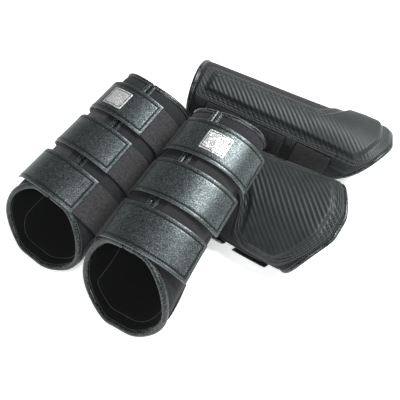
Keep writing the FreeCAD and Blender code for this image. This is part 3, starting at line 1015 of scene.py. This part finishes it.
def make_closure(boot_name, boot, index):
    """A tab, its hook pad, its stitches and, on the upper one, the badge."""
    low, high = strap_edges(index)
    name = f"{boot_name}_{STRAP_NAMES[index]}"
    boot_body, body = f"{boot_name}_boot", f"{name}_closure"
    span = FREE_ANGLES[index], SEWN_ANGLE
    seed = index * 1.7 + boot["at"][0]

    def free_lift(x):
        return boot["lift"] * np.clip(1 - x / LIFT_REACH, 0, 1) ** 2

    def wave(x, y):
        long, short = TAB_WAVE_LENGTHS
        return TAB_WAVE * np.sin(x / long + seed) * np.sin(y / short + 2 * seed)

    def relief(x, y, edge, length, width):
        to_side = np.minimum(y, width - y) - TAB_STITCH
        to_end = np.minimum(x - TAB_STITCH, length - x - TAB_STITCH)
        seam = np.minimum(np.abs(np.where(to_end > 0, to_side, 99)),
                          np.abs(np.where(to_side > 0, to_end, 99)))
        groove = -TAB_GROOVE * np.exp(-(seam / GROOVE_WIDTH) ** 2)
        swell, lift = wave(x, y), free_lift(x)
        return groove + swell + lift, swell + lift

    tab = strip(f"{name}_tab_leather", boot, span, (low, high), TAB_OFFSET, TAB_THICKNESS,
                (TAB_CORNER, 1.0, TAB_CORNER, 1.0), relief, 1.6)
    finish_piece(tab, "glitter_leather", None, f"{name}_tab")

    length, to_angle = angle_at(boot, *span, (low + high) / 2, TAB_OFFSET)
    size = boot["size"]
    thread_rows = Thread()
    x0, x1 = TAB_STITCH, length - TAB_STITCH
    y0, y1 = TAB_STITCH, (high - low) * size - TAB_STITCH
    steps = np.linspace(0, 1, 80)
    corners = (x0, y0), (x1, y0), (x1, y1), (x0, y1)
    for (xa, ya), (xb, yb) in zip(corners, corners[1:] + corners[:1]):
        x, y = xa + (xb - xa) * steps, ya + (yb - ya) * steps
        offset = TAB_OFFSET + TAB_THICKNESS - 0.2 + wave(x, y) + free_lift(x)
        thread_rows.row(boot, to_angle(x), low + y / size, offset)
    stitches = thread_rows.make(f"{name}_tab_stitches")

    turn = np.degrees(HOOK_INSET / section_radius(boot, 90.0, (low + high) / 2))
    start = FREE_ANGLES[index] + float(turn)
    hook_span = start, start + HOOK_SPAN

    def hook_relief(x, y, edge, length, width):
        lift = free_lift(x + HOOK_INSET)
        return lift * 0.95, lift * 0.9

    hooks = strip(f"{name}_hook_strip", boot, hook_span, (low + HOOK_INSET, high - HOOK_INSET),
                  HOOK_OFFSET, HOOK_THICKNESS + 0.3, (1.0,) * 4, hook_relief)
    finish_piece(hooks, "hook_tape", body, f"{name}_hook_pad")

    hinge = place(boot, SEWN_ANGLE, (low + high) / 2, TAB_OFFSET)
    past = place(boot, float(to_angle(length - TAB_BEND)), (low + high) / 2, TAB_OFFSET)
    for piece in (tab, stitches):
        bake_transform(piece)
    if STRAP_NAMES[index] == "upper":
        make_badge(boot_name, boot, body)


def make_badge(boot_name, boot, body):
    low, high = strap_edges(2)
    middle = (low + high) / 2
    half = float(degrees_for(boot, BADGE_SIZE / 2, BADGE_ANGLE, BADGE_LEVEL))
    span = BADGE_ANGLE - half, BADGE_ANGLE + half
    edges = middle - BADGE_SIZE / 2, middle + BADGE_SIZE / 2
    piece = strip(f"{boot_name}_badge_film", boot, span, edges, BADGE_OFFSET - BADGE_SINK,
                  BADGE_THICKNESS, (BADGE_CORNER,) * 4, None, 1.6)
    finish_piece(piece, "silver_glitter", body, f"{boot_name}_badge")
    turn = half - float(degrees_for(boot, BADGE_STITCH, BADGE_ANGLE, BADGE_LEVEL))
    reach = BADGE_SIZE / 2 - BADGE_STITCH
    rows = Thread()
    steps = np.linspace(-1, 1, 20)
    ones = np.ones(20)
    for a, h in ((steps, -ones), (ones, steps), (-steps, ones), (-ones, -steps)):
        rows.row(boot, BADGE_ANGLE + a * turn, middle + h * reach,
                 BADGE_OFFSET + BADGE_THICKNESS - 0.35, pitch=BADGE_STITCH)
    stitches = rows.make(f"{boot_name}_badge_stitches")
    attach(stitches, body)


for boot_name, boot in LAYOUT.items():
    threads = Thread()
    make_shell(boot_name, boot)
    make_lining(boot_name, boot)
    make_binding(boot_name, boot, threads)
    make_pad(boot_name, boot, threads)
    make_loop_panel(boot_name, boot)
    for index in range(3):
        make_elastic(boot_name, boot, index)
        make_closure(boot_name, boot, index)
    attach(threads.make(f"{boot_name}_boot_stitches", "waxed_thread"), f"{boot_name}_boot")


# ---- floor, light and camera ----
SWEEP = ((0.02, 0.0), (2.0, 0.0), (5.0, 0.0), (6.4, 0.12), (7.4, 0.6), (7.9, 1.5), (8.0, 3.0))


def make_floor():
    """A round floor of pale paper that sweeps up into a wall."""
    turn = np.linspace(0, 2 * math.pi, 64, endpoint=False)[:, None]
    reach, height = np.array(SWEEP).T
    points = np.stack([reach * np.cos(turn), reach * np.sin(turn), height + 0 * turn], axis=-1)
    index = np.arange(turn.size * reach.size).reshape(turn.size, reach.size)
    faces = quads(np.vstack([index, index[:1]])).tolist() + [index[:, 0].tolist()]
    mesh = bpy.data.meshes.new("floor")
    mesh.from_pydata(points.reshape(-1, 3).tolist(), [], faces)
    mesh.materials.append(MATERIALS["floor_paper"])
    floor = bpy.data.objects.new("floor", mesh)
    bpy.context.scene.collection.objects.link(floor)


def softbox(name, at, target, size, power):
    light = bpy.data.lights.new(name, "AREA")
    light.shape = "RECTANGLE"
    light.size, light.size_y = size
    light.energy = power
    lamp = bpy.data.objects.new(name, light)
    bpy.context.scene.collection.objects.link(lamp)
    lamp.location = at
    aim(lamp, target)


def aim(thing, target):
    direction = Vector(target) - thing.location
    thing.rotation_mode = "QUATERNION"
    thing.rotation_quaternion = direction.to_track_quat("-Z", "Y")


def make_lights():
    middle = (0.0, 0.0, 0.05)
    softbox("key", (0.60, 0.62, 1.22), middle, (0.8, 0.6), 40)
    softbox("front", (0.35, -0.9, 1.0), middle, (0.7, 0.6), 10)
    world = bpy.data.worlds.new("studio")
    world.use_nodes = True
    background = world.node_tree.nodes["Background"]
    background.inputs["Color"].default_value = (1.0, 1.0, 1.0, 1.0)
    background.inputs["Strength"].default_value = 0.08
    bpy.context.scene.world = world


CAMERA_AZIMUTH = 34.4
CAMERA_ELEVATION = 46.1
CAMERA_DISTANCE = 0.6993
CAMERA_TARGET = (0.00614, -0.03185, 0.03881)
CAMERA_LENS = 53.98


def make_camera():
    azimuth, elevation = math.radians(CAMERA_AZIMUTH), math.radians(CAMERA_ELEVATION)
    back = np.array((math.sin(azimuth) * math.cos(elevation),
                     -math.cos(azimuth) * math.cos(elevation), math.sin(elevation)))
    data = bpy.data.cameras.new("camera")
    data.lens = CAMERA_LENS
    data.sensor_width = 36.0
    data.clip_start, data.clip_end = 0.05, 20.0
    camera = bpy.data.objects.new("camera", data)
    bpy.context.scene.collection.objects.link(camera)
    camera.location = np.array(CAMERA_TARGET) + back * CAMERA_DISTANCE
    aim(camera, CAMERA_TARGET)
    bpy.context.scene.camera = camera


make_floor()
make_lights()
make_camera()
bpy.context.scene.view_settings.view_transform = "Standard"
